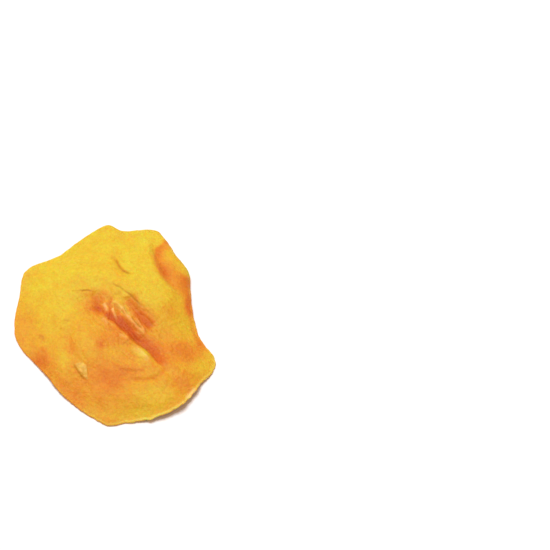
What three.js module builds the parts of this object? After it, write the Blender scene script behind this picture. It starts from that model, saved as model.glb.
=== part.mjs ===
// Dried mango slice: one leathery slice cut from the cheek of the fruit and dried until it curled.
// It lies with its wrinkled face up, low and domed, and rests on small flats of its rim.
// Units are millimetres, +Z is up, and the origin is the bottom centre of the slice's box.
import * as THREE from "three";

// The sheet: how far its face rises over its rim, and how thick it is from rim to body.
const domeHeight = 9.4;
const rimThickness = 1.4;
const bodyThickness = 3.6;
const pitThickness = 2.2;
const thickenReach = 0.34;       // share of the way in from the rim where full thickness begins
const reliefReach = 0.12;        // share of the way in from the rim where folds are at full height

// The rim's corners, clockwise from the far tip, joined by one smooth closed curve.
const rimCorners = [
  [-3.5, 50], [3.3, 46.9], [15.4, 47.3], [20.3, 44], [26.4, 33.6], [31.7, 25.3], [33.9, 9],
  [39, -9.7], [43.6, -17.4], [42.7, -24.6], [37.9, -30.3], [34.9, -36.2], [29.8, -41.8],
  [22.6, -46.4], [14.1, -49], [5.3, -50.1], [-2.6, -50.9], [-14.5, -44.2], [-23.8, -36.1],
  [-32.3, -24.4], [-40.3, -14.4], [-43.6, -7.7], [-44.3, 1.6], [-42.5, 12.3], [-41, 22.7],
  [-38.1, 27.6], [-26, 33.5], [-17.6, 40.1], [-10.6, 46.5],
];

// A place along the rim is a share of its length, from 0 at the far tip, clockwise, to 1.
// The face meets its rim at a soft slope everywhere but at one rolled shoulder.
const softSlope = 1.2;
const shoulderSlope = 0.5;
const shoulderPlace = 0.14;
const shoulderSpread = 0.09;

// Where the rim rests on the surface below, pressed flat.
const rests = [0.99, 0.325, 0.515, 0.765];
const restSpread = 0.022;
const restPress = 1.2;           // how far the underside is pressed down behind a resting rim
const pressReach = 0.1;          // share of the way in from the rim that is pressed

// Where the rim curls up between its rests.
const lifts = [
  { place: 0.13, spread: 0.05, height: 1.5 },
  { place: 0.23, spread: 0.05, height: 0.8 },
  { place: 0.415, spread: 0.06, height: 3 },
  { place: 0.64, spread: 0.05, height: 1.5 },
  { place: 0.885, spread: 0.05, height: 2.2 },
];
const liftFade = 2.2;            // power with which a lift fades towards the middle

// Small flutes along the near right part of the rim.
const flutePlace = 0.4;
const fluteSpread = 0.05;
const fluteHeight = 0.4;
const fluteCount = 27;           // waves that would fit the rim's whole length

// The middle of the dome is an oval, so that the rim's corners don't run on into it.
const ovalHalfWidth = 43;
const ovalHalfLength = 50;

// The sunken, wrinkled middle, an oval lying along the main fold.
const pitCentre = new THREE.Vector2(4.5, -5);
const pitHalfLength = 22;
const pitHalfWidth = 13;
const pitDepth = 3.4;
const pitAngle = -Math.PI / 4;
const pitEdge = 1.4;             // power that makes the pit's side steeper than a bell's

// Folds along short paths. Walking the path, left and right are the widths of the fold's two
// sides. A height below zero is a furrow, and one above zero is a ridge.
const folds = [
  { name: "main fold", path: [[-12, 13.4], [-0.7, 3.4], [10.3, -8.6], [20.6, -20]],
    height: -2.4, left: 2.9, right: 2.2 },
  { name: "lip under the main fold", path: [[-2, -2], [5, -10], [13, -18.4], [18, -22.5]],
    height: 0.8, left: 2.2, right: 3.6 },
  { name: "pale ridge", path: [[-1.5, 7.8], [5.4, 3.2], [11.2, -4.2], [16, -11]],
    height: 1.1, left: 2, right: 2 },
  { name: "upper fold", path: [[-0.6, 16.6], [6, 11.6], [12.4, 3.4], [17.6, -4]],
    height: -1.5, left: 2.1, right: 2.3 },
  { name: "edge over the upper fold", path: [[3, 17.8], [9.8, 12.4], [16.8, 3.6], [21, -3]],
    height: 0.5, left: 3.4, right: 2.2 },
  { name: "funnel", path: [[-13.6, 12.6], [-10, 8.4], [-7.4, 2]],
    height: -1.2, left: 2.8, right: 2.8 },
  { name: "tuck", path: [[-1.5, 32.5], [0, 27.8], [3.7, 22.7], [8.4, 20.2]],
    height: -0.8, left: 2.1, right: 2.4 },
  { name: "left ring fold", path: [[-19.1, -3], [-19.5, -13.3], [-14, -23.3], [-4, -27.4]],
    height: -0.7, left: 2.6, right: 3 },
  { name: "near ring fold", path: [[4, -30], [12.5, -32.2], [19.8, -29.2], [24.5, -24.5]],
    height: -0.8, left: 2.4, right: 2.4 },
  { name: "shoulder ridge", path: [[17, 43], [16, 33], [18.6, 24], [23.4, 17.4], [31, 12.6]],
    height: 1.3, left: 2.4, right: 5 },
  { name: "shoulder fold", path: [[20.4, 40], [20.8, 31], [23.4, 24], [27.6, 18.6]],
    height: -1.3, left: 3, right: 2.4 },
  { name: "torn flake", path: [[-18.6, -22.4], [-14, -25], [-11.8, -32.4]],
    height: 0.9, left: 2.4, right: 2.2 },
  { name: "cheek swell", path: [[-30, -4], [-24, 12], [-12, 24]],
    height: 0.8, left: 9, right: 9 },
  { name: "near swell", path: [[-16, -36], [2, -39], [18, -38]],
    height: 0.8, left: 5, right: 6 },
];
const pathSteps = 24;            // straight steps that a fold's path is measured by
const foldFade = 0.2;            // share of its path over which a fold deepens from each end

// Long, low waves over the whole sheet.
const waves = [
  { length: 58, height: 0.5, angle: 0.5, start: 0.7 },
  { length: 37, height: 0.35, angle: 2.1, start: 2.4 },
  { length: 24, height: 0.2, angle: 1.2, start: 4.1 },
];

// The mesh: rings of points from the middle to the rim, closer together in the middle.
const ringCount = 28;
const sectors = 6;               // each ring has this many points more than the ring inside it
const ringPacking = 1.2;
const rimBulge = 0.45;           // how far the middle of the rim's edge stands out
const rimDivisions = 1200;       // steps by which the rim's length is measured

const fruitColor = 0xeab43a;

function bell(value, spread) {
  return Math.exp(-((value / spread) ** 2));
}

function smooth(value) {
  return THREE.MathUtils.smoothstep(value, 0, 1);
}

function rimGap(placeA, placeB) {
  const gap = Math.abs(placeA - placeB) % 1;
  return Math.min(gap, 1 - gap);
}

function smoothCurve(corners, closed) {
  const points = corners.map(([x, y]) => new THREE.Vector3(x, y, 0));
  return new THREE.CatmullRomCurve3(points, closed, "catmullrom", 0.5);
}

const foldPaths = folds.map((fold) => smoothCurve(fold.path, false).getPoints(pathSteps));

// Nearest place on a path: its share of the path, and the distance to it, which is above zero on
// the path's left.
function nearestOnPath(path, x, y) {
  const nearest = { share: 0, distance: Infinity };
  for (let step = 0; step < pathSteps; step += 1) {
    const from = path[step];
    const runX = path[step + 1].x - from.x;
    const runY = path[step + 1].y - from.y;
    const along = ((x - from.x) * runX + (y - from.y) * runY) / (runX ** 2 + runY ** 2);
    const part = THREE.MathUtils.clamp(along, 0, 1);
    const awayX = x - (from.x + part * runX);
    const awayY = y - (from.y + part * runY);
    const away = Math.hypot(awayX, awayY);
    if (away < Math.abs(nearest.distance)) {
      nearest.distance = runX * awayY - runY * awayX >= 0 ? away : -away;
      nearest.share = (step + part) / pathSteps;
    }
  }
  return nearest;
}

function foldHeight(x, y) {
  let height = 0;
  folds.forEach((fold, index) => {
    const { share, distance } = nearestOnPath(foldPaths[index], x, y);
    const fade = smooth(share / foldFade) * smooth((1 - share) / foldFade);
    height += fade * fold.height * bell(distance, distance > 0 ? fold.left : fold.right);
  });
  return height;
}

function waveHeight(x, y) {
  let height = 0;
  for (const wave of waves) {
    const along = x * Math.cos(wave.angle) + y * Math.sin(wave.angle);
    height += wave.height * Math.sin((2 * Math.PI * along) / wave.length + wave.start);
  }
  return height;
}

function pitShare(x, y) {
  const place = new THREE.Vector2(x, y).rotateAround(pitCentre, -pitAngle).sub(pitCentre);
  const reach = (place.x / pitHalfLength) ** 2 + (place.y / pitHalfWidth) ** 2;
  return Math.exp(-(reach ** pitEdge));
}

function restShare(place) {
  return Math.max(...rests.map((rest) => bell(rimGap(place, rest), restSpread)));
}

function rimLift(place) {
  const flutes = bell(rimGap(place, flutePlace), fluteSpread);
  let lift = fluteHeight * flutes * Math.sin(2 * Math.PI * fluteCount * place);
  for (const curl of lifts) {
    lift += curl.height * bell(rimGap(place, curl.place), curl.spread);
  }
  return Math.max(0, lift * (1 - restShare(place)));
}

// Height of the upper face at a point of the disc.
function faceHeight({ x, y, reach, place }) {
  const oval = Math.hypot(x / ovalHalfWidth, y / ovalHalfLength);
  const level = THREE.MathUtils.lerp(oval, reach, reach ** 2);
  const shoulder = bell(rimGap(place, shoulderPlace), shoulderSpread);
  const slope = THREE.MathUtils.lerp(softSlope, shoulderSlope, shoulder * reach);
  const dome = domeHeight * Math.max(0, 1 - level ** 2) ** slope;
  const relief = foldHeight(x, y) + waveHeight(x, y) - pitDepth * pitShare(x, y);
  const inland = smooth((1 - reach) / reliefReach);
  return rimThickness + rimLift(place) * reach ** liftFade + dome + relief * inland;
}

// Height of the underside, which follows the face and is pressed flat where the rim rests.
function underHeight(point, face) {
  const { x, y, reach, place } = point;
  const body = THREE.MathUtils.lerp(bodyThickness, pitThickness, pitShare(x, y));
  const inland = smooth((1 - reach) / thickenReach);
  const thickness = THREE.MathUtils.lerp(rimThickness, body, inland);
  const press = restPress * restShare(place) * (1 - smooth((1 - reach) / pressReach));
  return Math.max(0, face - thickness - press);
}

// Points of the disc, ring by ring: where each is, how far out, and its place along the rim.
function discPoints(rim) {
  const points = [{ x: 0, y: 0, reach: 0, place: 0 }];
  for (let ring = 1; ring <= ringCount; ring += 1) {
    const reach = (ring / ringCount) ** ringPacking;
    const count = sectors * ring;
    for (let step = 0; step < count; step += 1) {
      const place = step / count;
      const edge = rim.getPointAt(place);
      points.push({ x: edge.x * reach, y: edge.y * reach, reach, place });
    }
  }
  return points;
}

function ringStart(ring) {
  return ring === 0 ? 0 : 1 + (sectors * ring * (ring - 1)) / 2;
}

// Triangles between the rings, turning the way the rim runs. Each four points are split along the
// diagonal that changes height least, so that the folds keep clean lines.
function discTriangles(heights) {
  const triangles = [];
  for (let ring = 1; ring <= ringCount; ring += 1) {
    const outerCount = sectors * ring;
    const innerCount = Math.max(1, sectors * (ring - 1));
    for (let step = 0; step < outerCount; step += 1) {
      const sector = Math.floor(step / ring);
      const innerStep = step - sector;
      const outer = ringStart(ring) + step;
      const outerNext = ringStart(ring) + ((step + 1) % outerCount);
      const inner = ringStart(ring - 1) + (innerStep % innerCount);
      const innerNext = ringStart(ring - 1) + ((innerStep + 1) % innerCount);
      const climb = Math.abs(heights[inner] - heights[outerNext]);
      const otherClimb = Math.abs(heights[outer] - heights[innerNext]);
      if ((step + 1) % ring === 0) {
        triangles.push([inner, outer, outerNext]);
      } else if (climb <= otherClimb) {
        triangles.push([inner, outer, outerNext], [inner, outerNext, innerNext]);
      } else {
        triangles.push([inner, outer, innerNext], [outer, outerNext, innerNext]);
      }
    }
  }
  return triangles;
}

function sliceGeometry() {
  const rim = smoothCurve(rimCorners, true);
  rim.arcLengthDivisions = rimDivisions;
  const disc = discPoints(rim);
  const faces = disc.map(faceHeight);
  const unders = disc.map((point, index) => underHeight(point, faces[index]));
  const positions = [];
  const indices = [];

  disc.forEach((point, index) => positions.push(point.x, point.y, faces[index]));
  disc.forEach((point, index) => positions.push(point.x, point.y, unders[index]));
  for (const [a, b, c] of discTriangles(faces)) {
    indices.push(a, c, b);
    indices.push(a + disc.length, b + disc.length, c + disc.length);
  }

  const rimCount = sectors * ringCount;
  const faceRim = ringStart(ringCount);
  const underRim = faceRim + disc.length;
  const edgeRim = 2 * disc.length;
  for (let step = 0; step < rimCount; step += 1) {
    const point = disc[faceRim + step];
    const tangent = rim.getTangentAt(point.place);
    const middle = (faces[faceRim + step] + unders[faceRim + step]) / 2;
    positions.push(point.x - tangent.y * rimBulge, point.y + tangent.x * rimBulge, middle);
  }
  for (let step = 0; step < rimCount; step += 1) {
    const next = (step + 1) % rimCount;
    for (const [upper, lower] of [[faceRim, edgeRim], [edgeRim, underRim]]) {
      indices.push(upper + step, upper + next, lower + next);
      indices.push(upper + step, lower + next, lower + step);
    }
  }

  const geometry = new THREE.BufferGeometry();
  geometry.setAttribute("position", new THREE.Float32BufferAttribute(positions, 3));
  geometry.setIndex(indices);
  geometry.computeBoundingBox();
  const middle = geometry.boundingBox.getCenter(new THREE.Vector3());
  geometry.translate(-middle.x, -middle.y, 0);
  geometry.computeVertexNormals();
  return geometry;
}

const slice = new THREE.Mesh(
  sliceGeometry(),
  new THREE.MeshStandardMaterial({ color: fruitColor, roughness: 0.5, metalness: 0 }),
);
slice.name = "mango_slice";

const group = new THREE.Group();
group.add(slice);

export default group;
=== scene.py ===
"""Dried mango slice: its looks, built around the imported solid.

The slice's shape is worked out on its plan in millimetres, x across and y towards the far tip. It
follows the solid's folds and rim, with finer relief, and is then set into the solid's box in metres.
"""

import math

import bpy
import numpy as np
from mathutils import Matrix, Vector, noise


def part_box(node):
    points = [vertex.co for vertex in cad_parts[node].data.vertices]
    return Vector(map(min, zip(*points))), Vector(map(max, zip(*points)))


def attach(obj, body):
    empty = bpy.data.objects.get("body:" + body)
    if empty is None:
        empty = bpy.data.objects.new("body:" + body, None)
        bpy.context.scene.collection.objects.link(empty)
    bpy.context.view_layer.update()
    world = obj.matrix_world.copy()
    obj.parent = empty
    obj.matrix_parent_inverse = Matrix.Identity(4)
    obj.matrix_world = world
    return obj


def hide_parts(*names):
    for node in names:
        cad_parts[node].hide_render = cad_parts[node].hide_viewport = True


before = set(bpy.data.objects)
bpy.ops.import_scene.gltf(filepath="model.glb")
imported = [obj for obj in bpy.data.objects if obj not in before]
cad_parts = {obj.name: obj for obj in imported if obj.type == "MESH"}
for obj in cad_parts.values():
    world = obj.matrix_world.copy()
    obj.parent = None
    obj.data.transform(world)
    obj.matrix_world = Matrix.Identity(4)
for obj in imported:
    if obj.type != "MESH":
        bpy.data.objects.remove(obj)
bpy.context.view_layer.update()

MM = 0.001
NODE = "mango_slice"

# The photograph: its frame, its scale on the slice and the pixel of the slice plan's zero point.
FRAME_PIXELS = 550
PIXELS_PER_MM = 2.27
PLAN_PIXEL = (115.0, 325.8)
VIEW_ELEVATION = math.radians(60)
CAMERA_DISTANCE_MM = 6000.0
CLIP_END = 50.0

# The sheet: how far its face rises over its rim, and how thick it is from rim to body.
DOME_HEIGHT = 9.4
RIM_THICKNESS = 1.15
BODY_THICKNESS = 3.6
PIT_THICKNESS = 2.2
THICKEN_REACH = 0.34
RELIEF_REACH = 0.12

# The rim's corners, clockwise from the far tip.
RIM_CORNERS = [
    (-3.5, 49.6), (3.3, 46.9), (15.4, 47.3), (20.3, 44), (26.4, 33.6), (31.6, 25.6), (32.8, 17),
    (33.2, 9), (35, -1.4), (37.4, -8.6), (42.3, -16), (43.4, -21), (41.7, -25.2), (37.7, -30.6),
    (34.6, -36.2), (29.9, -41.8), (24.2, -45.6), (19.2, -47.5), (13.8, -48.8), (5.3, -49.4),
    (-2.6, -50.7), (-14, -43.8), (-23.2, -35.2), (-31.5, -23.9), (-39.7, -13.9), (-43, -7.5),
    (-43.9, 1.6), (-42.1, 12.3), (-40.7, 22.5), (-37.6, 26.9), (-25.6, 32.5), (-17.6, 40),
    (-10.3, 45.8),
]
CURVE_STEPS = 40
PLAN_MIDDLE = (-0.25, -0.6)  # the middle of the solid's plan

# A place along the rim is a share of its length, clockwise from the far tip. The face meets its
# rim at a soft slope but for the shoulder, and the slice rests where its rim is pressed flat.
SOFT_SLOPE = 1.2
SHOULDER_SLOPE = 0.5
SHOULDER_PLACE = 0.14
SHOULDER_SPREAD = 0.09
RESTS = (0.99, 0.325, 0.515, 0.765)
REST_SPREAD = 0.022
REST_PRESS = 1.2
PRESS_REACH = 0.1
LIFTS = [  # place, spread, height
    (0.13, 0.05, 1.5), (0.23, 0.05, 0.8), (0.415, 0.06, 3), (0.64, 0.05, 0.9), (0.885, 0.05, 2.2),
]
LIFT_FADE = 1.5
FLUTE_PLACE = 0.4
FLUTE_SPREAD = 0.05
FLUTE_HEIGHT = 0.4
FLUTE_COUNT = 27

# The oval that the dome follows in its middle; further out it follows the rim.
OVAL_HALF_WIDTH = 43
OVAL_HALF_LENGTH = 50

# The sunken middle: its place, size, depth and turn, and how steep its sides are.
PIT_CENTRE = (4.5, -5)
PIT_HALF_LENGTH = 22
PIT_HALF_WIDTH = 13
PIT_DEPTH = 3.4
PIT_ANGLE = -math.pi / 4
PIT_EDGE = 1.4

# Folds of the whole sheet: name, path, height (below zero is a furrow), and the widths of the
# fold's left and right sides, walking the path.
FOLDS = [
    ("main fold",
     [(-3.4, 0.6), (0.2, -2.4), (3.2, -5.2), (5.9, -7.6), (7.6, -10.2), (10.2, -12.3),
      (12.8, -14.3), (15, -16.4), (17.2, -19.2), (19.4, -22), (22.6, -25)], -1.4, 2.9, 0.9),
    ("lip under the main fold",
     [(-2, -4.6), (2.2, -7.8), (5, -11), (8.4, -14.8), (12, -17.4), (14.8, -20.8), (17.4, -24.2)],
     0.7, 0.9, 3.8),
    ("pale ridge",
     [(-1.6, 8.6), (1, 5.8), (4.2, 1.8), (7.2, -2), (9.6, -4.8), (12.2, -7.2), (15.6, -10.6)],
     1, 1.2, 1.6),
    ("upper fold",
     [(4.4, 10.4), (6.2, 7.8), (8.2, 4.8), (10.4, 2), (12.6, -1), (14.6, -3.6), (17, -6.6)],
     -1, 2.4, 2.2),
    ("edge over the upper fold", [(-0.6, 17), (3.4, 14.6), (7, 12), (10.2, 8.6), (13.4, 5)],
     0.15, 3.4, 1.8),
    ("funnel", [(-10.6, 12.4), (-9, 9.6), (-7.8, 6.4), (-6.8, 3.6), (-4, 0.6)], -0.85, 2.8, 2.8),
    ("tuck", [(-2, 32.5), (0, 28.6), (1.8, 25), (4.8, 22), (9, 20)], -0.6, 1, 2.4),
    ("left ring fold", [(-19.1, -3), (-19.5, -13.3), (-14, -23.3), (-4, -27.4)], -0.5, 2.2, 2.8),
    ("near ring fold", [(4, -30), (12.5, -32), (19.8, -29.2), (24.5, -24.5)], -0.35, 2, 1.4),
    ("shoulder ridge", [(14.6, 42), (14.2, 34), (16.4, 26), (18.8, 19), (24, 13.6), (29, 11.4)],
     1.1, 2, 5),
    ("shoulder fold",
     [(18.4, 43), (18, 37), (18.6, 32), (20.4, 26.6), (22.2, 21.4), (25.2, 16.6), (30, 12)],
     -1, 3.4, 2),
    ("cheek swell", [(-30, -4), (-24, 12), (-12, 24)], 0.8, 9, 9),
    ("near swell", [(-16, -36), (2, -39), (18, -38)], 0.8, 5, 6),
]

# Fine creases and ridges of the face alone, listed the same way.
CREASES = [
    ("nick", [(-15.4, 12.4), (-12.6, 12.6), (-9.9, 12.3)], -0.25, 0.4, 0.7),
    ("line over the upper fold",
     [(-1.4, 16), (0.4, 14.6), (2.2, 13.7), (4.2, 11.8), (6.4, 10.2), (8.3, 8.3), (9.5, 6.9),
      (10.9, 5.3)], -0.32, 0.35, 0.5),
    ("line beside the pale ridge", [(7.4, -0.8), (8.2, -2.1), (10, -4.3), (11.6, -6)],
     -0.5, 0.5, 0.5),
    ("ridge beyond the line", [(9.2, -0.6), (10.4, -2.4), (11.6, -4.4), (13.6, -7.4)],
     0.35, 0.6, 0.6),
    ("streak on the pale ridge", [(1.6, 6.2), (4.6, 3.2), (7, -0.4)], -0.3, 0.4, 0.5),
    ("second streak", [(-1.4, 7), (2.2, 3.4), (5, -0.4)], -0.3, 0.4, 0.5),
    ("small crease", [(2.6, -14.8), (4.6, -13.2), (6.8, -11.6)], -0.3, 0.4, 0.7),
    ("funnel furrow", [(-8.4, 10.6), (-7.6, 8), (-7.4, 5), (-6, 1.6)], -0.35, 1, 1.1),
    ("funnel ridge", [(-5.2, 8), (-4.2, 5.3), (-3.5, 2.6)], 0.5, 0.8, 0.8),
    ("inner furrow", [(-2.6, 9.6), (-2, 6), (-1.8, 2.6), (-2.2, -0.4), (-2.9, -3)],
     -0.42, 0.7, 0.6),
    ("inner ridge", [(-1.3, 4.4), (-0.6, 1.6), (0.6, -1)], 0.7, 0.6, 0.5),
    ("second inner furrow", [(-0.5, 6.2), (0.5, 3.4), (1.7, 0.4)], -0.5, 0.5, 0.5),
    ("inner ring fold", [(1, -26), (5.5, -26.6), (9.6, -27.2), (14.4, -27)], -0.3, 0.6, 0.9),
    ("near ring crease", [(5.6, -30.2), (12.4, -31.2), (17.4, -30.4), (21.6, -27.4)],
     -0.3, 0.6, 1),
    ("tuck crease", [(-0.8, 30.6), (0.6, 28.2), (1.7, 25.8), (3, 23.6), (4.8, 22.3), (7.6, 20.8)],
     -0.4, 0.4, 0.8),
    ("left crease", [(-19.4, -8), (-19.7, -14), (-18.4, -19.4)], -0.25, 0.7, 1.2),
    ("under the flake", [(-18.4, -23.4), (-17, -26.2), (-15.2, -28.8), (-11.6, -31.6)],
     -0.3, 0.5, 0.9),
    ("near right crease", [(20, -37.4), (21.8, -35.4), (23.6, -33.6)], -0.25, 0.5, 0.6),
]
FOLD_FADE = 0.2
PATH_STEPS = 24
PATH_REACH = 3.2  # widths away from its path at which a fold has died out

WAVES = [  # wavelength, height, direction, start
    (58, 0.5, 0.5, 0.7), (37, 0.35, 2.1, 2.4), (24, 0.2, 1.2, 4.1),
]

# The torn flake that stands up from the face, by its corners; it stands highest on its torn side.
FLAKE_CORNERS = [
    (-17.4, -23.5), (-16.4, -22.8), (-15.2, -22.6), (-13.7, -23), (-12.6, -24.1), (-12, -26.2),
    (-11.7, -30.5), (-13.3, -29.4), (-14.9, -28), (-16.4, -25.8),
]
FLAKE_HEIGHT = 0.4
FLAKE_TORN_HEIGHT = 0.6
FLAKE_TORN_MIDDLE = (-14.6, -27)
FLAKE_TORN_WIDTH = 2.4
FLAKE_EDGE = 0.35

# Noise in the surface: wavelength across and along the fibres, height, and where it begins.
FIBRE_ANGLE = -math.pi / 4
UNDULATION = (8.0, 11.0, 0.34, 1.7)
WRINKLES = (2.8, 4.6, 0.2, 5.1)
PIT_WRINKLES = (2.2, 8.0, 0.4, 9.4)
PIT_WRINKLES_ELSEWHERE = 0.12
GRAIN = (1.35, 1.7, 0.17, 13.9)
FINE_RELIEF_REACH = 0.04
UNDER_WRINKLES = (2.8, 4.6, 0.4, 23.3)
UNDER_FURROWS = (3.1, 8.0, 0.2, 31.7)
FURROW_SHARPNESS = 0.16

# How far the coloured zones stray across and along the plan, listed the same way, and the folds'
# share of that.
DRIFT_ACROSS = (4.5, 6.5, 1.1, 41.3)
DRIFT_ALONG = (4.5, 6.5, 1.1, 57.9)
FOLD_DRIFT = 0.6

# The rim's small bumps: wavelength and height; they are calmer away from the near right.
RIM_WOBBLE = [(15.0, 0.3), (7.0, 0.45), (3.4, 0.45), (1.7, 0.35)]
RIM_WOBBLE_FADE = 12
WOBBLE_STEP = 7.3    # how far apart in the noise two of the bumps' wavelengths are read
ROUGH_PLACE = 0.43
ROUGH_SPREAD = 0.13
CALM_SHARE = 0.45

# The face's rings of points, how many points each ring adds, and how they crowd to the middle.
RING_COUNT = 125
SECTORS = 6
RING_PACKING = 1.12
RIM_PROFILE = [(0.14, 0.36), (0.42, 0.45), (0.76, 0.2)]  # share of the way down, and outward

PIECE_NAME = "dried_mango_slice"


def bell(value, spread):
    return np.exp(-((value / spread) ** 2))


def smooth(value):
    share = np.clip(value, 0, 1)
    return share * share * (3 - 2 * share)


def mix(low, high, share):
    return low + (high - low) * share


def rim_gap(place_a, place_b):
    gap = np.abs(place_a - place_b) % 1
    return np.minimum(gap, 1 - gap)


def smooth_curve(corners, closed, steps):
    """Points of a smooth curve through the corners, steps to each stretch."""
    points = np.array(corners, float)
    count = len(points)
    if closed:
        points = np.vstack([points[-1], points, points[:2]])
        stretches = count
    else:
        first = 2 * points[0] - points[1]
        last = 2 * points[-1] - points[-2]
        points = np.vstack([first, points, last])
        stretches = count - 1
    share = np.arange(steps)[:, None] / steps
    pieces = []
    for index in range(stretches):
        before, start, end, after = points[index:index + 4]
        linear = (end - before) * share
        square = (2 * before - 5 * start + 4 * end - after) * share**2
        cube = (3 * start - before - 3 * end + after) * share**3
        pieces.append(0.5 * (2 * start + linear + square + cube))
    curve = np.vstack(pieces)
    return curve if closed else np.vstack([curve, points[-2]])


class Rim:
    """The slice's closed outline, found by place along it."""

    def __init__(self):
        curve = smooth_curve(RIM_CORNERS, True, CURVE_STEPS)
        self.points = np.vstack([curve, curve[0]])
        steps = np.hypot(*np.diff(self.points, axis=0).T)
        self.walked = np.concatenate([[0], np.cumsum(steps)])
        self.length = self.walked[-1]

    def at(self, place):
        distance = (place % 1) * self.length
        x = np.interp(distance, self.walked, self.points[:, 0])
        y = np.interp(distance, self.walked, self.points[:, 1])
        return x, y

    def outward(self, place):
        step = 0.001
        x0, y0 = self.at(place - step)
        x1, y1 = self.at(place + step)
        run = np.hypot(x1 - x0, y1 - y0)
        return -(y1 - y0) / run, (x1 - x0) / run


def nearest_on_path(corners, x, y, reach):
    """Share along a path and signed distance to it, left above zero, for the points in reach."""
    curve = smooth_curve(corners, False, max(1, PATH_STEPS // (len(corners) - 1)))
    low = curve.min(0) - reach
    high = curve.max(0) + reach
    near = np.flatnonzero((x > low[0]) & (x < high[0]) & (y > low[1]) & (y < high[1]))
    best = np.full(len(near), np.inf)
    share = np.zeros(len(near))
    steps = len(curve) - 1
    for index in range(steps):
        start, end = curve[index], curve[index + 1]
        run = end - start
        dx = x[near] - start[0]
        dy = y[near] - start[1]
        part = np.clip((dx * run[0] + dy * run[1]) / (run @ run), 0, 1)
        away_x = dx - part * run[0]
        away_y = dy - part * run[1]
        away = np.hypot(away_x, away_y)
        side = np.where(run[0] * away_y - run[1] * away_x >= 0, 1.0, -1.0)
        closer = away < np.abs(best)
        best = np.where(closer, side * away, best)
        share = np.where(closer, (index + part) / steps, share)
    return near, share, best


def path_bell(corners, left, right, x, y, flatness=2):
    """1 on a path, falling off to its sides and towards its ends."""
    near, share, distance = nearest_on_path(corners, x, y, PATH_REACH * max(left, right))
    ends = smooth(share / FOLD_FADE) * smooth((1 - share) / FOLD_FADE)
    width = np.where(distance > 0, left, right)
    value = np.zeros(len(x))
    value[near] = ends * np.exp(-(np.abs(distance / width) ** flatness))
    return value


def fold_heights(folds, x, y):
    total = np.zeros(len(x))
    for _, corners, height, left, right in folds:
        total += height * path_bell(corners, left, right, x, y)
    return total


def wave_heights(x, y):
    total = np.zeros(len(x))
    for length, height, angle, start in WAVES:
        along = x * math.cos(angle) + y * math.sin(angle)
        total += height * np.sin(2 * math.pi * along / length + start)
    return total


def pit_share(x, y):
    dx = x - PIT_CENTRE[0]
    dy = y - PIT_CENTRE[1]
    along = dx * math.cos(PIT_ANGLE) + dy * math.sin(PIT_ANGLE)
    across = dy * math.cos(PIT_ANGLE) - dx * math.sin(PIT_ANGLE)
    reach = (along / PIT_HALF_LENGTH) ** 2 + (across / PIT_HALF_WIDTH) ** 2
    return np.exp(-(reach**PIT_EDGE))


def rest_share(place):
    return np.max([bell(rim_gap(place, rest), REST_SPREAD) for rest in RESTS], axis=0)


def rim_lift(place):
    flutes = bell(rim_gap(place, FLUTE_PLACE), FLUTE_SPREAD)
    lift = FLUTE_HEIGHT * flutes * np.sin(2 * math.pi * FLUTE_COUNT * place)
    for centre, spread, height in LIFTS:
        lift += height * bell(rim_gap(place, centre), spread)
    return np.maximum(0, lift * (1 - rest_share(place)))


def surface_noise(size, x, y):
    """Smooth noise of the given height to both sides, drawn out along the fibres."""
    across, along, height, start = size
    u = (x * math.cos(FIBRE_ANGLE) + y * math.sin(FIBRE_ANGLE)) / along
    v = (y * math.cos(FIBRE_ANGLE) - x * math.sin(FIBRE_ANGLE)) / across
    return height * np.array([noise.noise(Vector((a, b, start))) for a, b in zip(u, v)])


def furrow_noise(size, x, y):
    """Round backs with narrow furrows of the given depth between them."""
    across, along, height, start = size
    value = surface_noise((across, along, 1, start), x, y)
    return -height * bell(value, FURROW_SHARPNESS)


def patch_share(corners, soft, x, y):
    """1 inside the outline of a patch and 0 outside it, over a soft edge."""
    points = np.array(corners, float)
    low = points.min(0) - soft
    high = points.max(0) + soft
    near = np.flatnonzero((x > low[0]) & (x < high[0]) & (y > low[1]) & (y < high[1]))
    px, py = x[near], y[near]
    away = np.full(len(near), np.inf)
    inside = np.zeros(len(near), bool)
    for start, end in zip(points, np.roll(points, -1, axis=0)):
        run = end - start
        dx = px - start[0]
        dy = py - start[1]
        part = np.clip((dx * run[0] + dy * run[1]) / (run @ run), 0, 1)
        away = np.minimum(away, np.hypot(dx - part * run[0], dy - part * run[1]))
        crosses = (start[1] > py) != (end[1] > py)
        with np.errstate(divide="ignore", invalid="ignore"):
            inside ^= crosses & (dx < run[0] * dy / run[1])
    share = np.zeros(len(x))
    share[near] = smooth(0.5 + np.where(inside, away, -away) / (2 * soft))
    return share


def rim_wobble(place, length):
    total = np.zeros(len(place))
    turn = 2 * math.pi * place
    for index, (wavelength, height) in enumerate(RIM_WOBBLE):
        radius = length / wavelength / (2 * math.pi)
        depth = WOBBLE_STEP * index
        total += height * np.array([
            noise.noise(Vector((radius * math.cos(a), radius * math.sin(a), depth))) for a in turn
        ])
    return total


def disc_points(rim):
    """Plan points ring by ring: x, y, reach from 0 to 1, and place along the rim."""
    rings = [(np.zeros(1), np.zeros(1))]
    for ring in range(1, RING_COUNT + 1):
        count = SECTORS * ring
        reach = np.full(count, (ring / RING_COUNT) ** RING_PACKING)
        rings.append((reach, np.arange(count) / count))
    reach = np.concatenate([ring[0] for ring in rings])
    place = np.concatenate([ring[1] for ring in rings])
    edge_x, edge_y = rim.at(place)
    out_x, out_y = rim.outward(place)
    calm = mix(CALM_SHARE, 1, bell(rim_gap(place, ROUGH_PLACE), ROUGH_SPREAD))
    wobble = calm * rim_wobble(place, rim.length) * reach**RIM_WOBBLE_FADE
    x = edge_x * reach + out_x * wobble
    y = edge_y * reach + out_y * wobble
    return x, y, reach, place


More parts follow.
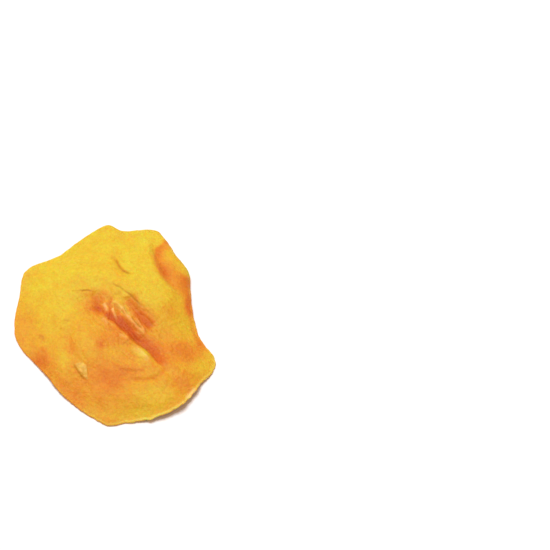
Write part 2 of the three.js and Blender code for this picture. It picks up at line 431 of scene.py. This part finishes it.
def ring_start(ring):
    return 0 if ring == 0 else 1 + SECTORS * ring * (ring - 1) // 2


def disc_triangles(heights):
    """Triangles between the rings, split along the diagonal that changes height least."""
    found = []
    for ring in range(1, RING_COUNT + 1):
        outer_count = SECTORS * ring
        inner_count = max(1, SECTORS * (ring - 1))
        step = np.arange(outer_count)
        inner_step = step - step // ring
        outer = ring_start(ring) + step
        outer_next = ring_start(ring) + (step + 1) % outer_count
        inner = ring_start(ring - 1) + inner_step % inner_count
        inner_next = ring_start(ring - 1) + (inner_step + 1) % inner_count
        corner = (step + 1) % ring == 0
        climb = np.abs(heights[inner] - heights[outer_next])
        other_climb = np.abs(heights[outer] - heights[inner_next])
        flip = ~corner & (climb > other_climb)
        plain = ~corner & ~flip
        keep = ~flip
        found.append(np.stack([inner, outer, outer_next], 1)[keep])
        found.append(np.stack([inner, outer_next, inner_next], 1)[plain])
        found.append(np.stack([inner, outer, inner_next], 1)[flip])
        found.append(np.stack([outer, outer_next, inner_next], 1)[flip])
    return np.vstack(found)


class Slice:
    """Everything worked out about the slice's points before they become a mesh."""

    def __init__(self):
        self.rim = Rim()
        self.x, self.y, self.reach, self.place = disc_points(self.rim)
        x, y, reach, place = self.x, self.y, self.reach, self.place
        self.pit = pit_share(x, y)
        self.flake = patch_share(FLAKE_CORNERS, FLAKE_EDGE, x, y)
        self.drift_x = surface_noise(DRIFT_ACROSS, x, y)
        self.drift_y = surface_noise(DRIFT_ALONG, x, y)

        oval = np.hypot(x / OVAL_HALF_WIDTH, y / OVAL_HALF_LENGTH)
        level = mix(oval, reach, reach**2)
        shoulder = bell(rim_gap(place, SHOULDER_PLACE), SHOULDER_SPREAD)
        slope = mix(SOFT_SLOPE, SHOULDER_SLOPE, shoulder * reach)
        dome = DOME_HEIGHT * np.maximum(0, 1 - level**2) ** slope
        inland = smooth((1 - reach) / RELIEF_REACH)
        folds = fold_heights(FOLDS, x + FOLD_DRIFT * self.drift_x, y + FOLD_DRIFT * self.drift_y)
        broad = folds + wave_heights(x, y) - PIT_DEPTH * self.pit
        sheet = RIM_THICKNESS + rim_lift(place) * reach**LIFT_FADE + dome + broad * inland
        self.face = sheet + self.fine_relief() * smooth((1 - reach) / FINE_RELIEF_REACH)

        body = mix(BODY_THICKNESS, PIT_THICKNESS, self.pit)
        thickness = mix(RIM_THICKNESS, body, smooth((1 - reach) / THICKEN_REACH))
        press = REST_PRESS * rest_share(place) * (1 - smooth((1 - reach) / PRESS_REACH))
        self.under = np.maximum(0, sheet - thickness - press + self.under_relief())

    def fine_relief(self):
        x, y = self.x, self.y
        relief = fold_heights(CREASES, x, y)
        relief += surface_noise(UNDULATION, x, y)
        relief += surface_noise(WRINKLES, x, y)
        relief += (self.pit + PIT_WRINKLES_ELSEWHERE) * furrow_noise(PIT_WRINKLES, x, y)
        relief += surface_noise(GRAIN, x, y)
        torn = bell(np.hypot(x - FLAKE_TORN_MIDDLE[0], y - FLAKE_TORN_MIDDLE[1]), FLAKE_TORN_WIDTH)
        return relief + (FLAKE_HEIGHT + FLAKE_TORN_HEIGHT * torn) * self.flake

    def under_relief(self):
        x, y = self.x, self.y
        return surface_noise(UNDER_WRINKLES, x, y) + furrow_noise(UNDER_FURROWS, x, y)


def slice_mesh(shape):
    """The closed mesh of the slice: face, underside and rounded rim."""
    count = len(shape.x)
    rim_count = SECTORS * RING_COUNT
    rim_first = ring_start(RING_COUNT)
    rim_points = np.arange(rim_first, rim_first + rim_count)
    triangles = disc_triangles(shape.face)

    points = [
        np.stack([shape.x, shape.y, shape.face], 1),
        np.stack([shape.x, shape.y, shape.under], 1),
    ]
    out_x, out_y = shape.rim.outward(shape.place[rim_points])
    high = shape.face[rim_points]
    low = shape.under[rim_points]
    loops = [rim_points]
    for strip, (down, outward) in enumerate(RIM_PROFILE):
        x = shape.x[rim_points] + out_x * outward
        y = shape.y[rim_points] + out_y * outward
        loops.append(2 * count + rim_count * strip + np.arange(rim_count))
        points.append(np.stack([x, y, mix(high, low, down)], 1))
    loops.append(rim_points + count)

    faces = [triangles[:, [0, 2, 1]], triangles + count]
    for upper, lower in zip(loops, loops[1:]):
        upper_next = np.roll(upper, -1)
        lower_next = np.roll(lower, -1)
        faces.append(np.stack([upper, upper_next, lower_next], 1))
        faces.append(np.stack([upper, lower_next, lower], 1))
    return np.vstack(points), np.vstack(faces)


# Colour: ripeness runs from 0, bright yellow, through orange to 1, deep red.
RIPE_TOP = 0.1
RIPE_NEAR = 0.42
RIPE_FROM = 20.0     # where ripening begins, along the plan's y
RIPE_TO = -26.0
RIPE_TILT = 0.4      # how much further down it begins, for each millimetre to the right
UNDER_RIPE = 0.65    # the underside's own ripeness, its share, and what the pit adds
UNDER_RIPE_SHARE = 0.7
UNDER_PIT_RIPE = 0.12

# Coloured zones: name, centre, half width, half length, turn in degrees, amount of ripeness.
ZONES = [
    ("around the pit", (3, -4), 10, 17, 45, 0.1),
    ("pit", (6, -2), 6, 13, 45, 0.1),
    ("funnel", (-8.9, 7.2), 4.9, 6.8, 20, 0.33),
    ("funnel core", (-7.6, 7.4), 1.8, 3.6, 14, 0.05),
    ("main fold core", (4.2, -4.4), 2.2, 5, 42, 0.38),
    ("main fold lower", (9, -10.2), 1.8, 4.6, 45, 0.14),
    ("upper fold core", (12, -0.6), 2.8, 5, 40, 0.17),
    ("between the folds", (11, -4.6), 2.8, 8, 45, 0.13),
    ("beside the main fold", (0.4, -6.8), 2.8, 9, 45, 0.09),
    ("below the inner folds", (-2, -6.6), 3.2, 4.6, 0, 0.1),
    ("spot", (-6.2, -14.8), 1.7, 2.6, 0, 0.2),
    ("around the spot", (-5.6, -13), 4, 4.5, 0, 0.12),
    ("right of the spot", (0, -13.2), 5.4, 3.2, 0, 0.08),
    ("right low orange", (31.5, -15.5), 8.5, 5.6, 0, 0.27),
    ("right low patch", (24, -17.5), 9, 6, 0, 0.12),
    ("lower middle", (-3, -29.8), 9.6, 7, 0, 0.26),
    ("near left patch", (-32.4, -19), 3.8, 6.2, 35, 0.3),
    ("near left core", (-33.2, -19.8), 1.8, 2.4, 35, 0.14),
    ("near left rim", (-19, -35.2), 3.6, 9, 52, 0.15),
    ("dot", (-32.2, -8.4), 1.4, 1.3, 0, 0.16),
    ("left ring", (-19.5, -13.8), 1.7, 5, 0, 0.16),
    ("left rim", (-41, 4), 3.2, 8, 0, 0.06),
    ("pale lower pit", (12.4, -18.8), 3.6, 3, -40, -0.34),
    ("near yellow", (15.6, -38.4), 10, 6.4, 12, -0.22),
    ("right corner yellow", (41, -20.6), 2.6, 5, 0, -0.08),
    ("left yellow", (-22.6, -20), 3, 6.2, 12, -0.2),
    # The next two zones are partly a painted highlight along the lit near lip.
    ("near lip yellow", (7, -47), 13, 2.6, 0, -0.16),
    ("near lip yellow to the right", (20.5, -42.8), 5, 2.6, 25, -0.1),
    ("under the right corner", (37.6, -25), 3.4, 3.4, 0, -0.12),
    ("right middle", (25, 3), 8.5, 14, 0, 0.17),
    ("over the right corner", (38.6, -12), 3, 3.4, 0, 0.14),
    ("near right patch", (29, -31.6), 4.4, 3.6, 0, 0.12),
    ("far middle", (4.2, 43), 4.6, 4, 0, 0.06),
    ("over the tuck", (0.6, 29), 3.2, 6.4, 20, 0.08),
    ("below the tuck", (2.8, 17.2), 2.6, 3.4, 20, 0.06),
    ("below the cheek", (-13, -15.4), 4.8, 5.4, 0, -0.13),
    ("below the spot", (-0.4, -17.6), 4, 2.4, 0, -0.12),
    ("right of the main fold", (14.2, -12.6), 2.2, 4.2, 45, 0.13),
    ("beside the funnel", (-13.6, 1.6), 5.6, 5, 0, 0.09),
    ("right of the funnel", (-5, 10), 2.4, 3.4, 0, 0.14),
    ("left of the cheek", (-31.4, -9), 6, 6.6, 0, -0.1),
    # The shoulder's zones are partly painted shade on the band where the surface turns down.
    ("shoulder core", (20.8, 26), 2.6, 2.4, 0, 0.06),
    ("shoulder", (23.6, 28.4), 5.4, 10, 32, 0.2),
    ("shoulder low", (28, 19.6), 4.6, 4.6, 0, 0.17),
    ("upper middle", (8, 22), 22, 14, 0, 0.03),
    ("far edge", (-2, 44), 18, 9, 0, 0.07),
    ("far left", (-15, 28), 18, 9, 0, 0.06),
    ("left middle yellow", (-27.6, 2), 8.6, 12, 0, -0.14),
]

# Coloured streaks of ripeness, some partly painted shade: path, amount, widths of the left and right
# sides, and how flat their top is.
RIPE_AND_SHADE_STREAKS = [
    ([(-8.4, 4.6), (-4, 0.2), (0.3, -3.3), (2.9, -6), (5.2, -8.5), (6.9, -11), (9.5, -12.8),
      (12.3, -14.4), (14.9, -16), (16.6, -19.1), (18.8, -21.8), (21.8, -24.6), (24, -26)],
     0.39, 3.8, 0.7, 2.4),
    ([(-9.6, 6.6), (-7.6, 4.2), (-5.4, 2), (-2.6, -0.4), (0.6, -2.6), (4.4, -5.6)],
     0.32, 2, 1.8, 2),
    ([(4.4, 10.6), (6.2, 8), (8, 5.2), (10, 2.5), (12, -0.2), (13.8, -2.6), (15.4, -4.6),
      (17.2, -6.6)], 0.43, 4.2, 2.5, 2.6),
    # Partly painted shade: the band down the shoulder, where the surface turns away.
    ([(24.4, 46), (22.8, 42.6), (21, 39.4), (19.2, 36), (18.2, 32.4), (18.3, 29), (19.2, 25.6),
      (20.3, 22.4), (21.6, 19.4), (23.4, 16)], 0.4, 3.4, 1.1, 2),
    ([(19.4, 28), (21, 24), (22.6, 20.4), (25, 17.4), (28.4, 15), (33, 13)], 0.15, 5.6, 2.4, 2),
    # The next two are partly painted shade: strips along the right rim, where it rolls down.
    ([(31.2, 25), (32.1, 19), (32.5, 13), (32.8, 7), (33, 1)], 0.38, 2, 3, 2),
    ([(32.2, 16), (32.6, 8), (33.6, 1), (35, -5), (37, -10), (40, -14)], 0.3, 2, 1.8, 2),
    ([(-8.4, 10.6), (-7.6, 8), (-7.4, 5), (-6.4, 2.6)], 0.07, 0.8, 0.8, 2),
    ([(-2.4, 10), (-2, 6.6), (-1.7, 3.4), (-2, 0), (-2.7, -2.6)], 0.3, 0.9, 0.9, 2),
    ([(-0.5, 6.2), (0.5, 3.4), (1.7, 0.4)], 0.22, 0.6, 0.6, 2),
    ([(2, -26), (5.5, -26.6), (9.6, -27.2), (14.4, -27)], 0.1, 0.7, 0.9, 2),
    ([(6, -30.6), (11, -31), (15.4, -31), (18.8, -29.8), (22.4, -26.9), (25, -24)], 0.14, 0.9, 1, 2),
    ([(-1.8, 32.4), (0.2, 29), (1.4, 26), (3, 23.6), (6.8, 21.4)], 0.14, 0.8, 1.6, 2),
]

# Painted shade: dark lines painted into the creases, where shade falls; listed the same way.
CREASE_SHADE_LINES = [
    ([(-15.4, 12.4), (-12.6, 12.7), (-9.2, 12.2)], 0.8, 0.35, 0.45, 2),
    ([(-20, 12.8), (-17.4, 12.5), (-13.8, 12.6)], 0.25, 0.3, 0.4, 2),
    ([(-0.6, 29.6), (0.6, 28), (1.6, 25.9), (3, 23.7), (4.8, 22.3), (7.8, 20.8)],
     0.75, 0.35, 0.45, 2),
    ([(-2, 16.6), (0.4, 14.6), (2.2, 13.7), (4.2, 11.8)], 0.5, 0.4, 0.45, 2),
    ([(3, 12.8), (6.4, 10.2), (8.3, 8.3), (9.5, 6.9), (11.6, 4.7)], 0.95, 0.4, 0.45, 2),
    ([(11, 5.2), (14.4, 2.4), (17.4, -0.3), (19.2, -3)], 0.2, 0.4, 0.5, 2),
    ([(14.2, 1), (15.4, -1.2), (16, -3.6), (15.6, -6)], 0.22, 0.5, 0.5, 2),
    ([(7, -0.4), (8.4, -2.3), (10.2, -4.5), (12, -6.4)], 0.8, 0.35, 0.4, 2),
    ([(5.9, -8.9), (6.8, -11), (9.4, -13.1), (12.1, -15.1), (14.3, -17), (16, -19.6)],
     0.62, 0.5, 0.35, 2),
    ([(2.8, -14.8), (4.8, -13.2), (6.6, -11.6)], 0.4, 0.35, 0.4, 2),
    ([(-18.2, -22.8), (-17.3, -24.6), (-16, -26.6), (-14.4, -28.8), (-11.8, -31.2)],
     0.75, 0.35, 0.4, 2),
    ([(16.4, 36.4), (16.8, 33), (18, 29.4), (19.6, 26), (20.8, 22)], 0.3, 0.5, 0.5, 2),
    ([(-23.4, -1.8), (-21.8, -1.8), (-19.8, -2.3)], 0.5, 0.5, 0.6, 2),
    ([(-33.8, -7), (-32.2, -8.2), (-31, -10)], 0.5, 0.6, 0.6, 2),
    ([(20, -37.4), (21.8, -35.4), (23.6, -33.6)], 0.3, 0.4, 0.5, 2),
    ([(2.6, -26), (6, -26.7), (10, -27.3)], 0.26, 0.35, 0.4, 2),
    ([(7, -30.8), (11, -31.1), (15, -31.1)], 0.22, 0.35, 0.4, 2),
    ([(32.9, 3), (33.4, -1.4), (34.8, -6), (37, -11)], 0.3, 0.4, 0.5, 2),
]

# Pale places, listed the same way: paler flesh, and on the ridges partly painted highlights where
# they catch the light.
PALE_AND_HIGHLIGHT_LINES = [
    ([(-2, 8), (1.2, 5.6), (4, 3)], 0.3, 1.2, 1.4, 2),
    ([(2.2, 5), (4.6, 1.8), (6.8, -1.4)], 0.38, 1.1, 1.2, 2),
    ([(4.6, 0.8), (7.2, -2), (9.7, -5), (11.4, -6.6), (13.8, -8.8)], 0.5, 0.7, 0.8, 2),
    ([(9, -0.4), (10.4, -2.6), (12, -5.2), (13.4, -7.6)], 0.4, 0.4, 0.4, 2),
    # Painted highlight along the inner ridge.
    ([(-1.5, 4.6), (-0.7, 1.8), (0.8, -1.4)], 1.2, 0.6, 0.5, 2),
    ([(-5.4, 7), (-4.4, 5), (-3.4, 2.2)], 0.8, 0.8, 0.7, 2),
    ([(8, -14.2), (11, -17), (13.4, -19.4), (15.8, -22.4)], 0.34, 0.6, 1.8, 2),
    ([(9.6, 6.6), (10.8, 5), (12.8, 3.4)], 0.3, 0.35, 0.35, 2),
    ([(-6, -1), (-4.4, -2), (-2.6, -3.8)], 0.4, 0.8, 1, 2),
    ([(1.6, -9.4), (3.8, -10.2), (5.4, -11.2)], 0.35, 0.7, 0.8, 2),
]

# The pale lip along the near rim, partly the cut edge's paler colour and partly a painted highlight
# where the edge catches the light: where it lies along the rim, and how far inward it reaches.
LIP_PLACE = 0.44
LIP_SPREAD = 0.11
LIP_REACH = 0.022
LIP_YELLOW_AND_HIGHLIGHT = 0.3
LIP_PALE_AND_HIGHLIGHT = 0.42
# A small facet of the near lip that takes a painted highlight.
LIP_NICK = [(31, -39.4), (33.4, -36.6), (35.4, -33.6)]
LIP_NICK_WIDTH = 0.8
LIP_NICK_HIGHLIGHT = 0.75


def zone_amount(zones, x, y):
    total = np.zeros(len(x))
    for _, (cx, cy), half_width, half_length, turn, amount in zones:
        angle = math.radians(turn)
        dx = x - cx
        dy = y - cy
        across = dx * math.cos(angle) + dy * math.sin(angle)
        along = dy * math.cos(angle) - dx * math.sin(angle)
        total += amount * np.exp(-((across / half_width) ** 2 + (along / half_length) ** 2))
    return total


def line_amount(lines, x, y):
    total = np.zeros(len(x))
    for corners, amount, left, right, flatness in lines:
        total += amount * path_bell(corners, left, right, x, y, flatness)
    return total


def colour_fields(shape):
    """Ripeness, paleness with painted highlights, and painted crease shade of the face's points, and
    ripeness of the underside's.
    """
    x, y = shape.x, shape.y
    warped_x = x + shape.drift_x
    warped_y = y + shape.drift_y
    fall = (RIPE_FROM - y - RIPE_TILT * x) / (RIPE_FROM - RIPE_TO)
    ripe = mix(RIPE_TOP, RIPE_NEAR, smooth(fall))
    # Ripeness, with some painted shade in the streaks.
    ripe += zone_amount(ZONES, warped_x, warped_y) + line_amount(RIPE_AND_SHADE_STREAKS, warped_x, warped_y)
    lip = bell(rim_gap(shape.place, LIP_PLACE), LIP_SPREAD)
    lip *= smooth(1 - (1 - shape.reach) / LIP_REACH)
    # Painted highlight on the lit facet of the near lip.
    nick = LIP_NICK_HIGHLIGHT * path_bell(LIP_NICK, LIP_NICK_WIDTH, LIP_NICK_WIDTH, x, y)
    # Painted highlight and the paler cut edge along the near lip.
    ripe -= LIP_YELLOW_AND_HIGHLIGHT * lip
    pale = np.clip(line_amount(PALE_AND_HIGHLIGHT_LINES, x, y) + LIP_PALE_AND_HIGHLIGHT * lip + nick, 0, 1)
    # Painted shade in the creases, kept off the flake.
    crease_shade = np.clip(line_amount(CREASE_SHADE_LINES, x, y), 0, 1) * (1 - shape.flake)
    under_ripe = mix(ripe, UNDER_RIPE, UNDER_RIPE_SHARE) + UNDER_PIT_RIPE * shape.pit
    return ripe, pale, crease_shade, under_ripe


def add_attribute(mesh, name, values):
    attribute = mesh.attributes.new(name, "FLOAT", "POINT")
    attribute.data.foreach_set("value", values.astype(np.float32))


def spread(face, under):
    """Values of the whole mesh's points, the rim's strips running from face to underside."""
    high = face[ring_start(RING_COUNT):]
    low = under[ring_start(RING_COUNT):]
    strips = [mix(high, low, down) for down, _ in RIM_PROFILE]
    return np.concatenate([face, under, *strips])


def build_slice(material):
    shape = Slice()
    points, faces = slice_mesh(shape)
    box_low, box_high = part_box(NODE)
    points *= MM
    points[:, 0] += (box_low.x + box_high.x) / 2 - PLAN_MIDDLE[0] * MM
    points[:, 1] += (box_low.y + box_high.y) / 2 - PLAN_MIDDLE[1] * MM
    points[:, 2] += box_low.z

    mesh = bpy.data.meshes.new(PIECE_NAME)
    mesh.vertices.add(len(points))
    mesh.vertices.foreach_set("co", points.astype(np.float32).ravel())
    mesh.loops.add(faces.size)
    mesh.loops.foreach_set("vertex_index", faces.astype(np.int32).ravel())
    mesh.polygons.add(len(faces))
    mesh.polygons.foreach_set("loop_start", np.arange(0, faces.size, 3, dtype=np.int32))
    mesh.polygons.foreach_set("use_smooth", np.ones(len(faces), bool))
    mesh.update(calc_edges=True)
    mesh.validate()

    ripe, pale, crease_shade, under_ripe = colour_fields(shape)
    none = np.zeros(len(pale))
    add_attribute(mesh, "ripe", spread(ripe, under_ripe))
    add_attribute(mesh, "pale", spread(pale, none))
    add_attribute(mesh, "crease_shade", spread(crease_shade, none))
    add_attribute(mesh, "pit", spread(shape.pit, shape.pit))
    add_attribute(mesh, "flake", spread(shape.flake, none))
    mesh.materials.append(material)
    piece = bpy.data.objects.new(PIECE_NAME, mesh)
    bpy.context.scene.collection.objects.link(piece)
    return piece


# Colours are linear, from bright yellow to deep red by ripeness.
FLESH_COLOURS = [
    (0.0, (0.675, 0.548, 0.030)),
    (0.25, (0.692, 0.394, 0.020)),
    (0.5, (0.692, 0.257, 0.0170)),
    (0.75, (0.640, 0.156, 0.0110)),
    (1.0, (0.560, 0.096, 0.0075)),
]

# Pale places and painted highlights are cream where the flesh is yellow, and pink where it is red.
PALE_AND_HIGHLIGHT_COLOURS = [(0.3, (0.88, 0.60, 0.20)), (0.75, (0.83, 0.37, 0.115))]
PALE_AND_HIGHLIGHT_SHARE = 0.85
FLAKE_COLOURS = ((0.62, 0.32, 0.035), (0.76, 0.46, 0.095))
FLAKE_MOTTLE = 2.2
FLAKE_CONTRAST = 3
# The colour of the painted shade in the creases.
CREASE_SHADE_COLOUR = (0.50, 0.19, 0.009)

# Mottling of the ripeness: size in millimetres, detail and amount.
MOTTLES = [(14, 2, 0.22), (5, 2, 0.23), (1.5, 3, 0.26), (0.75, 2, 0.16)]

# Fibres in the ripeness: width and length in millimetres, direction and amount.
FIBRES = [(1.6, 11, FIBRE_ANGLE, 0.12), (1.6, 11, FIBRE_ANGLE + math.pi / 2, 0.08)]
PIT_FIBRES = (0.5, 5, FIBRE_ANGLE, 0.4)
PIT_FIBRE_DEPTH = 0.5

# Mottling of the lightness, partly painted shade standing in for the shading of fine relief, and of
# the roughness: size in millimetres and amount.
LIGHTNESS_AND_SHADE_MOTTLES = [(1.2, 0.24), (4, 0.12)]
ROUGHNESS = 0.56
ROUGHNESS_MOTTLE = (2.4, 0.3)
PIT_GLOSS = 0.1

# Pores and two grades of fine relief: size and depth in millimetres.
PORES = (0.9, 0.13)
FINE_BUMP = (0.5, 0.12)
COARSE_BUMP = (1.5, 0.36)

SHADER_VALUES = {
    "Subsurface Weight": 0.45,
    "Subsurface Radius": (1.0, 0.35, 0.08),
    "Subsurface Scale": 0.0022,
    "IOR": 1.42,
    "Specular IOR Level": 0.22,
}


class Nodes:
    """Short ways to add and join a material's nodes; sizes are in millimetres."""

    def __init__(self, material):
        material.use_nodes = True
        self.tree = material.node_tree
        self.shader = self.tree.nodes["Principled BSDF"]
        self.place = self.tree.nodes.new("ShaderNodeTexCoord").outputs["Object"]

    def new(self, kind, inputs=None, **settings):
        node = self.tree.nodes.new(kind)
        for name, value in settings.items():
            setattr(node, name, value)
        for name, value in (inputs or {}).items():
            if isinstance(value, bpy.types.NodeSocket):
                self.tree.links.new(value, node.inputs[name])
            else:
                node.inputs[name].default_value = value
        return node

    def attribute(self, name):
        return self.new("ShaderNodeAttribute", attribute_name=name).outputs["Fac"]

    def noise(self, size_mm, detail=3.0, place=None):
        node = self.new("ShaderNodeTexNoise", {
            "Vector": place or self.place, "Scale": 1 / (size_mm * MM), "Detail": detail,
        })
        return node.outputs["Fac"]

    def mottle(self, size_mm, amount):
        return self.around_zero(self.noise(size_mm), amount)

    def fibres(self, width_mm, length_mm, angle, amount):
        """Streaks of plus or minus half the amount, drawn out in one direction of the plan."""
        drawn_out = self.new("ShaderNodeMapping", {
            "Vector": self.place, "Rotation": (0, 0, angle),
            "Scale": (length_mm, width_mm, width_mm),
        }, vector_type="TEXTURE")
        return self.around_zero(self.noise(1, place=drawn_out.outputs["Vector"]), amount)

    def math(self, operation, first, second=0.0):
        return self.new("ShaderNodeMath", {0: first, 1: second}, operation=operation).outputs[0]

    def around_zero(self, value, amount):
        """A 0 to 1 noise made into plus or minus half the amount."""
        return self.math("MULTIPLY", self.math("SUBTRACT", value, 0.5), amount)

    def steep(self, value, steepness):
        """A 0 to 1 noise with more contrast about its middle."""
        return self.math("ADD", self.around_zero(value, steepness), 0.5)

    def mix_colour(self, share, first, second):
        node = self.new("ShaderNodeMix", {"Factor": share}, data_type="RGBA")
        for name, value in (("A", first), ("B", second)):
            socket = [s for s in node.inputs if s.name == name and s.type == "RGBA"][0]
            if isinstance(value, bpy.types.NodeSocket):
                self.tree.links.new(value, socket)
            else:
                socket.default_value = (*value, 1)
        return [s for s in node.outputs if s.type == "RGBA"][0]

    def ramp(self, share, stops):
        node = self.new("ShaderNodeValToRGB", {"Fac": share})
        elements = node.color_ramp.elements
        while len(elements) < len(stops):
            elements.new(0.5)
        for element, (position, colour) in zip(elements, stops):
            element.position = position
            element.color = (*colour, 1)
        return node.outputs["Color"]

    def bump(self, height, depth_mm, normal=None):
        node = self.new("ShaderNodeBump", {
            "Height": height, "Distance": depth_mm * MM, "Strength": 1.0,
        })
        if normal is not None:
            self.tree.links.new(normal, node.inputs["Normal"])
        return node.outputs["Normal"]


def flesh_material():
    material = bpy.data.materials.new("dried_mango_flesh")
    nodes = Nodes(material)
    shader = nodes.shader
    pit = nodes.attribute("pit")

    ripe = nodes.attribute("ripe")
    for size, detail, amount in MOTTLES:
        mottle = nodes.around_zero(nodes.noise(size, detail), amount)
        ripe = nodes.math("ADD", ripe, mottle)
    for fibre in FIBRES:
        ripe = nodes.math("ADD", ripe, nodes.fibres(*fibre))
    pit_fibres = nodes.math("MULTIPLY", pit, nodes.fibres(*PIT_FIBRES))
    ripe = nodes.math("ADD", ripe, pit_fibres)

    colour = nodes.ramp(ripe, FLESH_COLOURS)
    # Pale flesh and painted highlights on the ridges.
    pale = nodes.math("MULTIPLY", nodes.attribute("pale"), PALE_AND_HIGHLIGHT_SHARE)
    colour = nodes.mix_colour(pale, colour, nodes.ramp(ripe, PALE_AND_HIGHLIGHT_COLOURS))
    blotches = nodes.steep(nodes.noise(FLAKE_MOTTLE), FLAKE_CONTRAST)
    flake_colour = nodes.mix_colour(blotches, *FLAKE_COLOURS)
    colour = nodes.mix_colour(nodes.attribute("flake"), colour, flake_colour)
    # Painted shade: the creases are darkened towards the crease shade colour.
    colour = nodes.mix_colour(nodes.attribute("crease_shade"), colour, CREASE_SHADE_COLOUR)
    # Lightness mottling, partly painted shade of the fine relief.
    lightness_and_shade = 1.0
    for mottle in LIGHTNESS_AND_SHADE_MOTTLES:
        lightness_and_shade = nodes.math("ADD", lightness_and_shade, nodes.mottle(*mottle))
    colour = nodes.new("ShaderNodeHueSaturation", {"Color": colour, "Value": lightness_and_shade}).outputs[0]
    nodes.tree.links.new(colour, shader.inputs["Base Color"])

    roughness = nodes.math("ADD", nodes.mottle(*ROUGHNESS_MOTTLE), ROUGHNESS)
    roughness = nodes.math("SUBTRACT", roughness, nodes.math("MULTIPLY", pit, PIT_GLOSS))
    nodes.tree.links.new(roughness, shader.inputs["Roughness"])

    pore_size, pore_depth = PORES
    pores = nodes.new("ShaderNodeTexVoronoi", {
        "Vector": nodes.place, "Scale": 1 / (pore_size * MM), "Randomness": 1.0,
    }).outputs["Distance"]
    normal = nodes.bump(pores, pore_depth)
    for size, depth in (FINE_BUMP, COARSE_BUMP):
        normal = nodes.bump(nodes.noise(size), depth, normal)
    normal = nodes.bump(pit_fibres, PIT_FIBRE_DEPTH, normal)
    nodes.tree.links.new(normal, shader.inputs["Normal"])

    for name, value in SHADER_VALUES.items():
        shader.inputs[name].default_value = value
    return material


# The floor is pale and slightly warm, so that the shadow on it is too.
FLOOR_HALF = 6.0
FLOOR_COLOUR = (0.94, 0.885, 0.85)
FLOOR_ROUGHNESS = 0.9


def floor_material():
    material = bpy.data.materials.new("pale_floor")
    material.use_nodes = True
    shader = material.node_tree.nodes["Principled BSDF"]
    shader.inputs["Base Color"].default_value = (*FLOOR_COLOUR, 1)
    shader.inputs["Roughness"].default_value = FLOOR_ROUGHNESS
    return material


def build_floor():
    half = FLOOR_HALF
    mesh = bpy.data.meshes.new("floor")
    corners = [(-half, -half, 0), (half, -half, 0), (half, half, 0), (-half, half, 0)]
    mesh.from_pydata(corners, [], [(0, 1, 2, 3)])
    mesh.materials.append(floor_material())
    floor = bpy.data.objects.new("floor", mesh)
    bpy.context.scene.collection.objects.link(floor)
    return floor


# Soft light from all around, and a large light overhead, a little to the back and the left.
WORLD_STRENGTH = 0.54
WORLD_COLOUR = (1.0, 0.8, 0.58)
KEY_PLACE = (-0.2, 0.34, 1.65)
KEY_SIZE = 0.9
KEY_POWER = 25.2
KEY_COLOUR = (0.97, 1.1, 1.26)


def light_world():
    world = bpy.data.worlds.new("soft_white")
    world.use_nodes = True
    background = world.node_tree.nodes["Background"]
    background.inputs["Color"].default_value = (*WORLD_COLOUR, 1)
    background.inputs["Strength"].default_value = WORLD_STRENGTH
    bpy.context.scene.world = world


def add_key_light():
    data = bpy.data.lights.new("key", "AREA")
    data.shape = "SQUARE"
    data.size = KEY_SIZE
    data.energy = KEY_POWER
    data.color = KEY_COLOUR
    light = bpy.data.objects.new("key", data)
    light.location = KEY_PLACE
    light.rotation_mode = "QUATERNION"
    light.rotation_quaternion = Vector(KEY_PLACE).to_track_quat("Z", "Y")
    bpy.context.scene.collection.objects.link(light)


def add_camera():
    """A long lens that shows the slice where the photograph has it, at the same size."""
    across = (FRAME_PIXELS / 2 - PLAN_PIXEL[0]) / PIXELS_PER_MM
    along = (PLAN_PIXEL[1] - FRAME_PIXELS / 2) / PIXELS_PER_MM / math.sin(VIEW_ELEVATION)
    target = Vector((across, along, 0)) * MM
    back = Vector((0, -math.cos(VIEW_ELEVATION), math.sin(VIEW_ELEVATION)))
    data = bpy.data.cameras.new("camera")
    width = FRAME_PIXELS / PIXELS_PER_MM
    data.lens = data.sensor_width * CAMERA_DISTANCE_MM / width
    data.clip_end = CLIP_END
    camera = bpy.data.objects.new("camera", data)
    camera.location = target + back * CAMERA_DISTANCE_MM * MM
    camera.rotation_mode = "QUATERNION"
    camera.rotation_quaternion = back.to_track_quat("Z", "Y")
    bpy.context.scene.collection.objects.link(camera)
    bpy.context.scene.camera = camera


bpy.context.scene.view_settings.view_transform = "Standard"
add_camera()

mango = build_slice(flesh_material())
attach(mango, "root")
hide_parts(NODE)

floor = build_floor()
light_world()
add_key_light()
